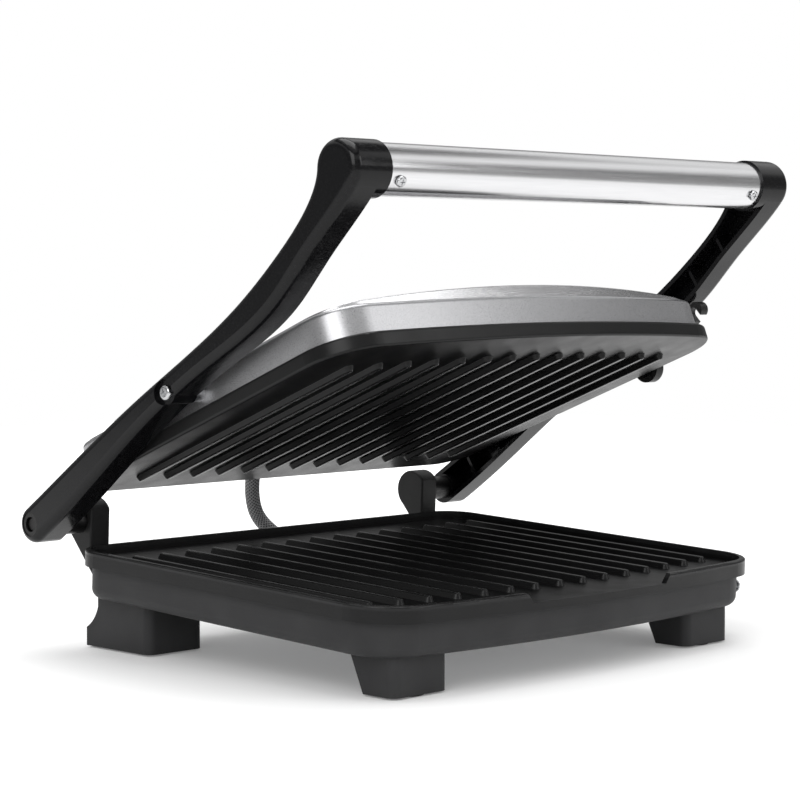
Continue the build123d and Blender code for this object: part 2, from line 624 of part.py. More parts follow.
def element_clips(face_z, way):
    """Saddles that hold the element against the plate; way is the side it lies on."""
    reach = 2 * ELEMENT_RADIUS + FACE_GAP
    half = ELEMENT_RADIUS + RUNNING + CLIP_WALL
    clips = []
    for x in (-ELEMENT_HALF_WIDTH, ELEMENT_HALF_WIDTH):
        for y in (ELEMENT_FRONT / 2, ELEMENT_BACK / 3):
            low, high = sorted((face_z, face_z + way * (reach + CLIP_WALL)))
            saddle = block(x - half, x + half, y - CLIP_LENGTH / 2, y + CLIP_LENGTH / 2, low, high)
            low, high = sorted((face_z - way, face_z + way * reach))
            channel = block(x - half + CLIP_WALL, x + half - CLIP_WALL, y - CLIP_LENGTH, y + CLIP_LENGTH,
                            low, high)
            clips.append(saddle - channel)
    return clips


def boxed(size, x, y, base, way):
    """A small closed component standing on a face, on the side that way gives."""
    low, high = sorted((base, base + way * size[2]))
    body = block(x - size[0] / 2, x + size[0] / 2, y - size[1] / 2, y + size[1] / 2, low, high)
    return fillet(body.edges().filter_by(Axis.Z), 1.5)


def terminal_block():
    base = HOUSING_BOTTOM + COVER_THICKNESS
    block_body = boxed(TERMINAL_SIZE, INLET_X / 2, COVER_DEPTH / 2 - 22, base, 1)
    for i in (-1, 0, 1):
        x = INLET_X / 2 + i * TERMINAL_SIZE[0] / 3.4
        block_body -= Pos(x, COVER_DEPTH / 2 - 22, base + TERMINAL_SIZE[2]) * Cylinder(2.2, 6)
    return block_body


def thermal_fuse():
    level = UPPER_SLAB_TOP + FUSE_RADIUS + RUNNING
    return x_rod(FUSE_RADIUS, -FUSE_LENGTH / 2, FUSE_LENGTH / 2, ELEMENT_BACK / 2, level)


def grommet(x, wall_y, z, bore, hole, lip=GROMMET_FLANGE):
    """Bush through a rear wall, with a flange on the outside."""
    body = Pos(0, -HOUSING_WALL / 2, 0) * Rot(90, 0, 0) * Cylinder(hole, HOUSING_WALL)
    flange = Cylinder(hole + lip, GROMMET_FLANGE)
    bush = body + Pos(0, GROMMET_FLANGE / 2, 0) * Rot(90, 0, 0) * flange
    return Pos(x, wall_y, z) * (bush - Rot(90, 0, 0) * Cylinder(bore, 6 * HOUSING_WALL))


# Jumper route in the plate frame, from the lid's rear wall round to the base's rear wall
JUMPER_LID_X = -6.0
JUMPER_LID_Z = (UPPER_TOP + BEZEL_TOP - BEZEL_EDGE_RADIUS) / 2
JUMPER_BASE_X = 24.0
JUMPER_BASE_Z = HOUSING_TOP - JUMPER_RADIUS - 1.5 * GROMMET_FLANGE - FACE_GAP
JUMPER_TAIL = 5.0
JUMPER_BOW = [(2.0, 148.5, 14.0), (12.0, 149.5, -1.0)]


def jumper_points():
    """Ends of the jumper inside both walls, and its free points between them."""
    tilt = radians(LID_REST)
    wall = UPPER_PLATE_BACK - BEZEL_INSET - BEZEL_WALL - GROMMET_FLANGE
    points = []
    for along in (wall, wall + 3.5 * JUMPER_TAIL):
        y = LID_PIVOT_Y + along * cos(tilt) + JUMPER_LID_Z * sin(tilt)
        z = LID_PIVOT_Z - along * sin(tilt) + JUMPER_LID_Z * cos(tilt)
        points.append((JUMPER_LID_X, y, z))
    inside = HOUSING_REAR - HOUSING_WALL - GROMMET_FLANGE
    tail = [(JUMPER_BASE_X, HOUSING_REAR + 1.6 * JUMPER_TAIL, JUMPER_BASE_Z), (JUMPER_BASE_X, inside, JUMPER_BASE_Z)]
    return points + JUMPER_BOW + tail


def jumper():
    points = [Vector(*p) for p in jumper_points()]
    radii = []
    for before, here, after in zip(points, points[1:], points[2:]):
        turn = radians((here - before).get_angle(after - here))
        run = min((here - before).length, (after - here).length)
        radii.append(0.45 * run / max(tan(turn / 2), 0.01))
    print("jumper radii", [round(r, 1) for r in radii])
    path = FilletPolyline(*points, radius=radii)
    start = Plane(origin=points[0], z_dir=points[1] - points[0])
    tube = sweep(start * Circle(JUMPER_RADIUS), path=path)
    print("jumper length", round(path.length, 1), "volume ratio",
          round(tube.volume / (path.length * pi * JUMPER_RADIUS ** 2), 4))
    return tube


def arm_local(y, z, angle):
    """Place of a plate-frame point in the arm frame when the arm stands at an angle."""
    dy, dz = y - HINGE_Y, z - HINGE_Z
    a = radians(angle)
    return (dy * cos(a) - dz * sin(a), dy * sin(a) + dz * cos(a))


def latch_reach():
    """Distance and direction from the latch pivot to the stud when the press is closed."""
    y, z = arm_local(STUD_Y, STUD_Z, ARM_CLOSED)
    dy, dz = y + LATCH_ALONG, z + LATCH_BELOW
    return hypot(dy, dz), degrees(atan2(dz, -dy))


def latch_frame():
    return Pos(0, -LATCH_ALONG, -LATCH_BELOW) * Rot(-LATCH_STOWED, 0, 0)


def lock_latch():
    """Hook lever: a round head on its pin and a notch that drops over the stud."""
    reach, _ = latch_reach()
    tip = reach + STUD_HEAD_RADIUS + 3
    outline = Circle(LATCH_HEAD_RADIUS) + Pos(-tip / 2, 0) * SlotOverall(tip, LATCH_WIDTH)
    notch = STUD_RADIUS + FACE_GAP
    outline -= Pos(-reach, 0) * Circle(notch)
    outline -= Pos(-reach, -LATCH_WIDTH / 2) * Rectangle(2 * notch, LATCH_WIDTH)
    lever = Pos(LATCH_INNER_X, 0, 0) * extrude(Plane.YZ * outline, LATCH_THICKNESS)
    pocket = Pos(-reach / 2, 0) * SlotOverall(reach - 14, LATCH_WIDTH - 3.6)
    lever -= Pos(LATCH_INNER_X - 1, 0, 0) * extrude(Plane.YZ * pocket, LATCH_THICKNESS - 1)
    lever -= x_rod(LATCH_PIN_RADIUS + RUNNING, LATCH_INNER_X - 1, LATCH_INNER_X + LATCH_THICKNESS + 1)
    return latch_frame() * lever


def latch_ears():
    """Fork under the right arm between whose ears the latch turns."""
    ears = None
    outline = Pos(0, 0) * Circle(LATCH_PIN_RADIUS + 3.5)
    outline += Pos(0, (LATCH_BELOW - 5) / 2) * Rectangle(2 * LATCH_PIN_RADIUS + 7, LATCH_BELOW - 5)
    outer = LATCH_INNER_X + LATCH_THICKNESS + FACE_GAP
    inner = LATCH_INNER_X - FACE_GAP - 1.2
    for x, thickness in ((inner, 1.2), (outer, EAR_THICKNESS)):
        ear = Pos(x, 0, 0) * extrude(Plane.YZ * outline, thickness)
        ears = ear if ears is None else ears + ear
    return Pos(0, -LATCH_ALONG, -LATCH_BELOW) * ears


def latch_pin():
    start = LATCH_INNER_X - FACE_GAP - 1.2
    end = LATCH_INNER_X + LATCH_THICKNESS + FACE_GAP + EAR_THICKNESS
    return x_rod(LATCH_PIN_RADIUS, start, end, -LATCH_ALONG, -LATCH_BELOW)


def right_arm():
    hole = LATCH_PIN_RADIUS
    start = LATCH_INNER_X - 4
    end = LATCH_INNER_X + LATCH_THICKNESS + FACE_GAP + EAR_THICKNESS + 1
    return arm() + latch_ears() - x_rod(hole, start, end, -LATCH_ALONG, -LATCH_BELOW)


def lock_stud():
    end = LATCH_INNER_X + LATCH_THICKNESS + 1
    stud = x_rod(STUD_RADIUS, HOUSING_SIDE, end, STUD_Y, STUD_Z)
    stud += x_rod(STUD_RADIUS - 0.6, HOUSING_SIDE - HOUSING_WALL - 2, HOUSING_SIDE, STUD_Y, STUD_Z)
    head = x_rod(STUD_HEAD_RADIUS, end, end + STUD_HEAD_LENGTH, STUD_Y, STUD_Z)
    return stud + fillet(head.edges().sort_by(Axis.X)[-1], 0.7)


def base_nodes():
    seat = in_plate_frame
    wall = HOUSING_REAR
    jumper_hole = JUMPER_RADIUS + GROMMET_FLANGE / 2
    return {
        "base_housing": [seat(base_housing())],
        "base_bottom_cover": [seat(bottom_cover())],
        "bottom_cover_screws": [seat(s) for s in cover_screws()],
        "front_feet": both_sides(foot(True)),
        "rear_feet": both_sides(foot(False)),
        "foot_pads": foot_pads(),
        "lower_plate": [seat(lower_plate())],
        "lower_element": [seat(heating_element(SLAB_BOTTOM - ELEMENT_RADIUS - FACE_GAP / 2))],
        "lower_element_clips": [seat(c) for c in element_clips(SLAB_BOTTOM, -1)],
        "thermostat": [seat(boxed(THERMOSTAT_SIZE, 0, 0, SLAB_BOTTOM, -1))],
        "terminal_block": [seat(terminal_block())],
        "cord_inlet": [seat(grommet(INLET_X, wall, JUMPER_BASE_Z, INLET_RADIUS - 2, INLET_RADIUS))],
        "base_jumper_grommet": [seat(grommet(JUMPER_BASE_X, wall, JUMPER_BASE_Z, JUMPER_RADIUS, jumper_hole))],
        "hinge_posts": [seat(s) for s in both_sides(hinge_post())],
        "hinge_pins": [seat(s) for s in both_sides(hinge_pin())],
        "hinge_washers": [seat(s) for s in both_sides(hinge_washer())],
        "lock_stud": [seat(lock_stud())],
        "jumper_sleeve": [seat(jumper())],
    }


def handle_nodes():
    def seat(shape):
        return in_plate_frame(in_arm_frame(shape))

    return {
        "arm_left": [seat(mirror(arm(), about=Plane.YZ))],
        "arm_right": [seat(right_arm())],
        "hinge_bushes": [seat(s) for s in both_sides(hinge_bush())],
        "handle_tube": [seat(handle_tube())],
        "tube_screws": [seat(s) for s in tube_screws()],
        "latch_pin": [seat(latch_pin())],
        "lock_latch": [seat(lock_latch())],
    }


def lid_nodes():
    def seat(shape):
        return in_plate_frame(in_lid_frame(shape))

    wall = UPPER_PLATE_BACK - BEZEL_INSET
    jumper_hole = JUMPER_RADIUS + GROMMET_FLANGE / 2
    return {
        "upper_plate": [seat(upper_plate())],
        "lid_bezel": [seat(lid_bezel())],
        "lid_top_panel": [seat(top_panel())],
        "lid_brackets": [seat(s) for s in both_sides(lid_bracket())],
        "lid_pivot_screws": [seat(s) for s in both_sides(pivot_screw())],
        "lid_pivot_spacers": [seat(s) for s in both_sides(pivot_spacer())],
        "upper_element": [seat(heating_element(UPPER_SLAB_TOP + ELEMENT_RADIUS + FACE_GAP / 2))],
        "upper_element_clips": [seat(c) for c in element_clips(UPPER_SLAB_TOP, 1)],
        "thermal_fuse": [seat(thermal_fuse())],
        "lid_jumper_grommet": [
            seat(grommet(JUMPER_LID_X, wall, JUMPER_LID_Z, JUMPER_RADIUS, jumper_hole, LID_GROMMET_LIP))],
    }


def shifted_to_origin(nodes):
    """Puts the origin on the resting surface, under the middle of the whole press."""
    everything = Compound([solid for solids in nodes.values() for solid in solids])
    middle = everything.bounding_box().center().Y
    print("moved along Y by", round(-middle, 3))
    return {name: [Pos(0, -middle, 0) * solid for solid in solids] for name, solids in nodes.items()}


def solids_of(shapes):
    return [solid for shape in shapes for solid in shape.solids()]


os.makedirs("parts", exist_ok=True)
press = {name: solids_of(shapes) for name, shapes in {**base_nodes(), **handle_nodes(), **lid_nodes()}.items()}
for name, solids in shifted_to_origin(press).items():
    export_step(Compound(solids) if len(solids) > 1 else solids[0], f"parts/{name}.step")
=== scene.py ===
from math import cos, pi, radians, sin

import bpy
import numpy as np
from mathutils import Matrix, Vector


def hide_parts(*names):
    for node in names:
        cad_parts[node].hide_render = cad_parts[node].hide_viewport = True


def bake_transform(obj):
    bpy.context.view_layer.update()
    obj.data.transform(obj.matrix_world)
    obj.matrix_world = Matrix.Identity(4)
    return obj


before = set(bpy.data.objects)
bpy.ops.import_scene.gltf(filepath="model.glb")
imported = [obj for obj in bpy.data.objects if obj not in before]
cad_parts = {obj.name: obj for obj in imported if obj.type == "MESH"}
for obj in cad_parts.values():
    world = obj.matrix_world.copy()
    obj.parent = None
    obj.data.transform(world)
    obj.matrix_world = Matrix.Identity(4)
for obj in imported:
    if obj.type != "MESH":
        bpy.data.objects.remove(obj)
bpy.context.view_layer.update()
scene = bpy.context.scene
scene.view_settings.view_transform = "Standard"


# Studio. The press stands on a sheet of white paper that runs out of sight, and is looked at
# from its front left corner through a long lens, just above the level of the cooking plates.
CAMERA_PLACE = (-0.9160, -0.90435, 0.2016)
CAMERA_LOOK = (0.7077, 0.7046, -0.0522)
LENS = 106.1
SENSOR = 36.0
NEAREST_SEEN = 0.01
PAPER_HALF_WIDTH = 1.7
PAPER_TONE = 0.85
PAPER_GLOW_NEAR = 0.15
PAPER_GLOW_FAR = 0.9
PAPER_GLOW_MIRRORED = 0.1
PAPER_FADE = (0.35, 1.3)
ROOM_LIGHT = 0.72
# Tone of the room that polished parts mirror, by the sine of the height above the horizon
ROOM_TONES = [(-1.0, 0.95), (-0.25, 0.95), (-0.03, 0.34), (0.10, 0.26), (0.36, 0.20), (0.45, 0.50),
              (0.52, 0.95), (0.64, 0.95), (0.675, 0.08), (0.74, 0.08), (0.82, 0.75), (1.0, 0.9)]
# Softboxes: name, middle, width and height, watts
SOFTBOXES = [
    ("softbox_above", (0.1, 0.1, 1.8), (1.5, 1.5), 20.0),
    ("softbox_left", (-1.5, -0.75, 0.95), (1.0, 1.0), 11.0),
    ("softbox_front_right", (0.9, -1.6, 0.9), (0.7, 0.9), 5.0),
]
SOFTBOX_TARGET = (0.0, 0.0, 0.1)


def node(tree, kind, inputs=None, **settings):
    """Adds a shader node. Each input gets a plain value, or the socket that feeds it."""
    made = tree.nodes.new(kind)
    for key, value in settings.items():
        setattr(made, key, value)
    for key, value in (inputs or {}).items():
        if isinstance(value, bpy.types.NodeSocket):
            tree.links.new(value, made.inputs[key])
        else:
            made.inputs[key].default_value = value
    return made


def either(tree, share, first, second):
    """A number that runs from first to second as share runs from 0 to 1."""
    return node(tree, "ShaderNodeMix", {0: share, 2: first, 3: second}).outputs[0]


def seen_directly_or_mirrored(tree):
    """1 for a ray from the camera, then 1 for a mirrored or transmitted ray."""
    light_path = node(tree, "ShaderNodeLightPath")
    mirrored = node(tree, "ShaderNodeMath", {0: light_path.outputs["Is Glossy Ray"],
                                             1: light_path.outputs["Is Transmission Ray"]},
                    operation="MAXIMUM").outputs[0]
    return light_path.outputs["Is Camera Ray"], mirrored


def add_camera():
    lens = bpy.data.cameras.new("camera")
    lens.lens = LENS
    lens.sensor_width = SENSOR
    lens.sensor_fit = "HORIZONTAL"
    lens.clip_start = NEAREST_SEEN
    camera = bpy.data.objects.new("camera", lens)
    camera.location = CAMERA_PLACE
    camera.rotation_euler = Vector(CAMERA_LOOK).to_track_quat("-Z", "Y").to_euler()
    scene.collection.objects.link(camera)
    scene.camera = camera


def add_room():
    """White where the camera sees it, and banded by height where a polished part mirrors it."""
    room = bpy.data.worlds.new("room")
    room.use_nodes = True
    scene.world = room
    tree = room.node_tree
    tree.nodes.clear()
    direction = node(tree, "ShaderNodeTexCoord").outputs["Generated"]
    height = node(tree, "ShaderNodeSeparateXYZ", {0: direction}).outputs["Z"]
    share = node(tree, "ShaderNodeMapRange", {"Value": height, "From Min": -1.0}).outputs[0]
    bands = node(tree, "ShaderNodeValToRGB", {"Fac": share})
    stops = bands.color_ramp.elements
    while len(stops) < len(ROOM_TONES):
        stops.new(0.5)
    for stop, (sine, tone) in zip(stops, ROOM_TONES):
        stop.position = (sine + 1) / 2
        stop.color = (tone, tone, tone, 1)
    direct, mirrored = seen_directly_or_mirrored(tree)
    tone = either(tree, direct, either(tree, mirrored, ROOM_LIGHT, bands.outputs["Color"]), 1.0)
    glow = node(tree, "ShaderNodeBackground", {"Color": (1, 1, 1, 1), "Strength": tone})
    node(tree, "ShaderNodeOutputWorld", {"Surface": glow.outputs[0]})


def add_paper():
    """The further out, the more the paper glows by itself, so that it fades into the white room."""
    half = PAPER_HALF_WIDTH
    corners = [(-half, -half, 0), (half, -half, 0), (half, half, 0), (-half, half, 0)]
    mesh = bpy.data.meshes.new("paper")
    mesh.from_pydata(corners, [], [(0, 1, 2, 3)])
    paper = bpy.data.objects.new("paper", mesh)
    scene.collection.objects.link(paper)
    white = bpy.data.materials.new("white_paper")
    white.use_nodes = True
    tree = white.node_tree
    tree.nodes.clear()
    direct, mirrored = seen_directly_or_mirrored(tree)
    place = node(tree, "ShaderNodeTexCoord").outputs["Object"]
    distance = node(tree, "ShaderNodeVectorMath", {0: place}, operation="LENGTH").outputs["Value"]
    fade = node(tree, "ShaderNodeMapRange", {"Value": distance,
                                             "From Min": PAPER_FADE[0], "From Max": PAPER_FADE[1],
                                             "To Min": PAPER_GLOW_NEAR, "To Max": PAPER_GLOW_FAR}).outputs[0]
    in_polish = either(tree, mirrored, 0.0, PAPER_GLOW_MIRRORED)
    glow = node(tree, "ShaderNodeEmission", {"Strength": either(tree, direct, in_polish, fade)})
    matt = node(tree, "ShaderNodeBsdfDiffuse", {"Color": (PAPER_TONE, PAPER_TONE, PAPER_TONE, 1)})
    both = node(tree, "ShaderNodeAddShader", {0: glow.outputs[0], 1: matt.outputs[0]})
    node(tree, "ShaderNodeOutputMaterial", {"Surface": both.outputs[0]})
    mesh.materials.append(white)


def add_softbox(name, place, size, watts):
    lamp = bpy.data.lights.new(name, "AREA")
    lamp.shape = "RECTANGLE"
    lamp.size, lamp.size_y = size
    lamp.energy = watts
    softbox = bpy.data.objects.new(name, lamp)
    softbox.location = place
    aim = Vector(SOFTBOX_TARGET) - Vector(place)
    softbox.rotation_euler = aim.to_track_quat("-Z", "Y").to_euler()
    softbox.visible_camera = False
    scene.collection.objects.link(softbox)


add_camera()
add_room()
add_paper()
for softbox in SOFTBOXES:
    add_softbox(*softbox)


# Cooking plates. Two aluminium die castings whose ribs stand side by side when the press is
# shut. Both are sprayed with black non-stick coating, which leaves a fine pebbled skin, and the
# food and the cleaning rub the tops of the ribs a little smoother. The tops of the ribs are also
# painted lighter, partly as worn coating and partly as a painted highlight along them.
PLATE_TILT = radians(2.4)
LOWER_RIB_TOPS = (0.0, -0.014515, 0.0495)
LID_TILT = radians(21.43)
LID_PIVOT = (0.0, 0.007103, 0.143855)
RIB_TIPS_BELOW_PIVOT = 0.02044
RUBBED_AND_HIGHLIGHT_DEPTH = 0.0007
COATING_BLACK = (0.007, 0.007, 0.0072)
# Lighter tone of the rib tops: partly rubbed coating, partly a painted highlight along them.
COATING_RUBBED_AND_HIGHLIGHT = (0.020, 0.020, 0.0205)
COATING_PEBBLE = 0.0006
COATING_RELIEF = 0.00005
COATING_CLOUD = 0.018
COATING_ROUGHNESS = (0.28, 0.37)
RUBBED_ROUGHNESS = 0.2
RUBBED_AND_HIGHLIGHT_PATCHES = (0.4, 1.0)
DULL_SPECULAR = 0.22


def new_finish(name, colour, roughness, metallic=0.0):
    """A material with one shader. Returns it, its nodes, the shader and the object's own place."""
    material = bpy.data.materials.new(name)
    material.use_nodes = True
    tree = material.node_tree
    shader = tree.nodes["Principled BSDF"]
    shader.inputs["Base Color"].default_value = (*colour, 1)
    shader.inputs["Roughness"].default_value = roughness
    shader.inputs["Metallic"].default_value = metallic
    shader.inputs["Specular IOR Level"].default_value = DULL_SPECULAR
    return material, tree, shader, node(tree, "ShaderNodeTexCoord").outputs["Object"]


def grain(tree, place, size, stretch=(1, 1, 1), detail=2.0):
    """Cloudy noise whose lumps are size metres across, drawn out along an axis where stretch is under 1."""
    drawn = node(tree, "ShaderNodeMapping", {"Vector": place, "Scale": stretch}).outputs[0]
    return node(tree, "ShaderNodeTexNoise", {"Vector": drawn, "Scale": 1 / size, "Detail": detail}).outputs[0]


def between(tree, share, low, high, low_at=0.3, high_at=0.7):
    """A number that runs from low to high as share runs over the given part of its range."""
    return node(tree, "ShaderNodeMapRange", {"Value": share, "From Min": low_at, "From Max": high_at,
                                             "To Min": low, "To Max": high}).outputs[0]


def two_tones(tree, share, first, second):
    """A colour that runs from first to second as share runs from 0 to 1."""
    mixed = node(tree, "ShaderNodeMix", {0: share}, data_type="RGBA")
    for socket, colour in ((6, first), (7, second)):
        if isinstance(colour, bpy.types.NodeSocket):
            tree.links.new(colour, mixed.inputs[socket])
        else:
            mixed.inputs[socket].default_value = (*colour, 1)
    return mixed.outputs[2]


def feed(tree, shader, name, socket):
    tree.links.new(socket, shader.inputs[name])


def emboss(tree, shader, height, depth):
    """Relief of the skin: height from 0 to 1 stands for depth metres."""
    relief = node(tree, "ShaderNodeBump", {"Height": height, "Distance": depth, "Strength": 1.0})
    feed(tree, shader, "Normal", relief.outputs[0])


def distance_from_plane(tree, place, origin, normal):
    """Distance of a point from a plane: the point less the origin, times the plane's normal."""
    offset = node(tree, "ShaderNodeVectorMath", {0: place, 1: origin}, operation="SUBTRACT").outputs[0]
    return node(tree, "ShaderNodeVectorMath", {0: offset, 1: normal}, operation="DOT_PRODUCT").outputs["Value"]


def nonstick_coating(name, origin, normal, tips_at):
    """Black coating, rubbed smoother where the distance from the plane comes near to that of the rib tops, and
    painted lighter there as worn coating and a painted highlight.
    """
    material, tree, shader, place = new_finish(name, COATING_BLACK, COATING_ROUGHNESS[1])
    pebble = grain(tree, place, COATING_PEBBLE)
    cloud = grain(tree, place, COATING_CLOUD)
    above = distance_from_plane(tree, place, origin, normal)
    rib_top_band = between(tree, above, 1.0, 0.0, tips_at, tips_at + RUBBED_AND_HIGHLIGHT_DEPTH)
    patches = between(tree, cloud, *RUBBED_AND_HIGHLIGHT_PATCHES)
    rubbed_and_highlight = node(tree, "ShaderNodeMath", {0: rib_top_band, 1: patches}, operation="MULTIPLY").outputs[0]
    # The rib tops are painted lighter: partly worn coating, partly a painted highlight.
    feed(tree, shader, "Base Color", two_tones(tree, rubbed_and_highlight, COATING_BLACK, COATING_RUBBED_AND_HIGHLIGHT))
    coated = between(tree, cloud, *COATING_ROUGHNESS)
    feed(tree, shader, "Roughness", either(tree, rubbed_and_highlight, coated, RUBBED_ROUGHNESS))
    emboss(tree, shader, pebble, COATING_RELIEF)
    return material


def dress(material, *names):
    """Gives the named pieces their finish."""
    for name in names:
        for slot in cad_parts[name].material_slots:
            slot.material = material


lower_coating = nonstick_coating("lower_plate_coating", LOWER_RIB_TOPS,
                                 (0.0, sin(PLATE_TILT), -cos(PLATE_TILT)), 0.0)
upper_coating = nonstick_coating("upper_plate_coating", LID_PIVOT,
                                 (0.0, sin(LID_TILT), cos(LID_TILT)), -RIB_TIPS_BELOW_PIVOT)
dress(lower_coating, "lower_plate")
dress(upper_coating, "upper_plate")


# Base housing, its four feet and the posts of the rear hinge. They are moulded in heat-proof
# black plastic from tools with an etched skin, so they look dark grey and evenly matt.
HOUSING_GREY = (0.026, 0.026, 0.027)
HOUSING_PALE = (0.034, 0.034, 0.035)
HOUSING_GRAIN = 0.0004
HOUSING_RELIEF = 0.00003
HOUSING_ROUGHNESS = 0.5
ETCH_SPREAD = (-0.05, 0.07)
CLOUD_TO_GRAIN = 60
POST_BLACK = (0.012, 0.012, 0.012)
POST_PALE = (0.02, 0.02, 0.02)
POST_ROUGHNESS = 0.45


def etched_plastic(name, dark, pale, size, relief, roughness):
    """Matt moulded skin: fine etched grain over a faint cloud of tone."""
    material, tree, shader, place = new_finish(name, dark, roughness)
    cloud = between(tree, grain(tree, place, CLOUD_TO_GRAIN * size), 0.0, 1.0)
    skin = grain(tree, place, size, detail=1.0)
    feed(tree, shader, "Base Color", two_tones(tree, cloud, dark, pale))
    feed(tree, shader, "Roughness", between(tree, skin, roughness + ETCH_SPREAD[0], roughness + ETCH_SPREAD[1]))
    emboss(tree, shader, skin, relief)
    return material


housing_skin = etched_plastic("housing_plastic", HOUSING_GREY, HOUSING_PALE, HOUSING_GRAIN,
                              HOUSING_RELIEF, HOUSING_ROUGHNESS)
post_skin = etched_plastic("post_plastic", POST_BLACK, POST_PALE, HOUSING_GRAIN,
                           2 * HOUSING_RELIEF, POST_ROUGHNESS)
dress(housing_skin, "base_housing", "front_feet", "rear_feet")
dress(post_skin, "hinge_posts")


# Bottom cover. A zinc-plated steel sheet with vent slots, held under the housing by six
# screws. The zinc shows as a faint pattern of crystals.
ZINC = (0.42, 0.43, 0.44)
ZINC_PALE = (0.56, 0.57, 0.58)
ZINC_CRYSTAL = 0.006
ZINC_ROUGHNESS = (0.36, 0.52)
ZINC_RELIEF = 0.00001


def zinc_sheet(name):
    """Zinc crystals: each cell of a cell pattern has its own tone and gloss."""
    material, tree, shader, place = new_finish(name, ZINC, ZINC_ROUGHNESS[1], 1.0)
    crystals = node(tree, "ShaderNodeTexVoronoi", {"Vector": place, "Scale": 1 / ZINC_CRYSTAL})
    tone = node(tree, "ShaderNodeSeparateColor", {0: crystals.outputs["Color"]}).outputs[0]
    feed(tree, shader, "Base Color", two_tones(tree, tone, ZINC, ZINC_PALE))
    feed(tree, shader, "Roughness", between(tree, tone, *ZINC_ROUGHNESS, 0.0, 1.0))
    emboss(tree, shader, grain(tree, place, ZINC_CRYSTAL / 10), ZINC_RELIEF)
    return material


plated_sheet = zinc_sheet("plated_steel_sheet")
dress(plated_sheet, "base_bottom_cover", "lid_brackets")


# Screws, pins, spacers and bushes. Most are bright plated steel, turned or headed, with fine
# scratches from the driver and the machine. The pins, washers and bushes of the rear hinge are
# dark with oil.
BRIGHT_STEEL = (0.62, 0.63, 0.64)
WORN_STEEL = (0.45, 0.45, 0.46)
OILED_STEEL = (0.035, 0.035, 0.036)
OILED_WORN = (0.075, 0.074, 0.073)
SCRATCH = 0.0003
SCRATCH_DRAWN = (0.15, 1, 1)
SCRATCH_SPREAD = (-0.06, 0.1)
SCRATCH_RELIEF = 0.000006
FASTENER_ROUGHNESS = 0.22
SPACER_ROUGHNESS = 0.32
OILED_ROUGHNESS = 0.4


def scratched_steel(name, steel, worn, roughness):
    """Steel: scratches drawn out along one axis vary its gloss and its tone."""
    material, tree, shader, place = new_finish(name, steel, roughness, 1.0)
    scratches = grain(tree, place, SCRATCH, SCRATCH_DRAWN, 3.0)
    feed(tree, shader, "Base Color", two_tones(tree, between(tree, scratches, 0.0, 1.0), worn, steel))
    feed(tree, shader, "Roughness", between(tree, scratches, roughness + SCRATCH_SPREAD[0],
                                            roughness + SCRATCH_SPREAD[1]))
    emboss(tree, shader, scratches, SCRATCH_RELIEF)
    return material


fastener_steel = scratched_steel("fastener_steel", BRIGHT_STEEL, WORN_STEEL, FASTENER_ROUGHNESS)
spacer_steel = scratched_steel("spacer_steel", BRIGHT_STEEL, WORN_STEEL, SPACER_ROUGHNESS)
oiled_steel = scratched_steel("oiled_steel", OILED_STEEL, OILED_WORN, OILED_ROUGHNESS)
dress(fastener_steel, "bottom_cover_screws", "tube_screws", "lid_pivot_screws", "lock_stud", "latch_pin")
dress(spacer_steel, "lid_pivot_spacers")
dress(oiled_steel, "hinge_pins", "hinge_washers", "hinge_bushes")


# Arms. Long glossy black mouldings, hollow and ribbed on the inner side, that carry the
# handle tube at the front and turn on plain bushes on the hinge pins at the rear.
GLOSS_BLACK = (0.0045, 0.0045, 0.005)
GLOSS_SCUFFED = (0.009, 0.009, 0.0095)
GLOSS_WAVE = 0.009
GLOSS_SCUFF = 0.0012
GLOSS_ROUGHNESS = (0.13, 0.24)
WAVE_RELIEF = 0.00003
SCUFF_DRAWN = (0.4, 1, 1)


def glossy_plastic(name):
    """High gloss moulding: a slow wave of the skin, and faint scuffs that dull it in places."""
    material, tree, shader, place = new_finish(name, GLOSS_BLACK, GLOSS_ROUGHNESS[0])
    scuffs = grain(tree, place, GLOSS_SCUFF, SCUFF_DRAWN, 4.0)
    feed(tree, shader, "Base Color", two_tones(tree, between(tree, scuffs, 0.0, 1.0, 0.5, 0.8),
                                               GLOSS_BLACK, GLOSS_SCUFFED))
    feed(tree, shader, "Roughness", between(tree, scuffs, *GLOSS_ROUGHNESS, 0.4, 0.8))
    emboss(tree, shader, grain(tree, place, GLOSS_WAVE, detail=0.0), WAVE_RELIEF)
    return material


dress(glossy_plastic("arm_plastic"), "arm_left", "arm_right")


# Handle tube. Satin aluminium tube, brushed along its length and clear anodised, pushed over
# a spigot on each arm and held there by one small screw.
ALUMINIUM = (0.80, 0.80, 0.81)
ALUMINIUM_LINE = (0.68, 0.68, 0.69)
BRUSH_LINE = 0.00014
BRUSH_DRAWN = (0.006, 1, 1)
BRUSH_RELIEF = 0.000003
BRUSH_SPREAD = (-0.05, 0.06)
TUBE_ROUGHNESS = 0.2


def brushed_metal(name, pale, dark, roughness, line, drawn, depth):
    """Brushed metal: noise drawn out along the brushing varies tone, gloss and relief."""
    material, tree, shader, place = new_finish(name, pale, roughness, 1.0)
    lines = grain(tree, place, line, drawn, 3.0)
    broad = grain(tree, place, 12 * line, drawn, 1.0)
    feed(tree, shader, "Base Color", two_tones(tree, between(tree, lines, 0.0, 1.0), dark, pale))
    streaks = node(tree, "ShaderNodeMath", {0: lines, 1: broad}, operation="ADD").outputs[0]
    feed(tree, shader, "Roughness", between(tree, streaks, roughness + BRUSH_SPREAD[0],
                                            roughness + BRUSH_SPREAD[1], 0.7, 1.3))
    emboss(tree, shader, lines, depth)
    return material


dress(brushed_metal("satin_aluminium", ALUMINIUM, ALUMINIUM_LINE, TUBE_ROUGHNESS, BRUSH_LINE,
                    BRUSH_DRAWN, BRUSH_RELIEF), "handle_tube")


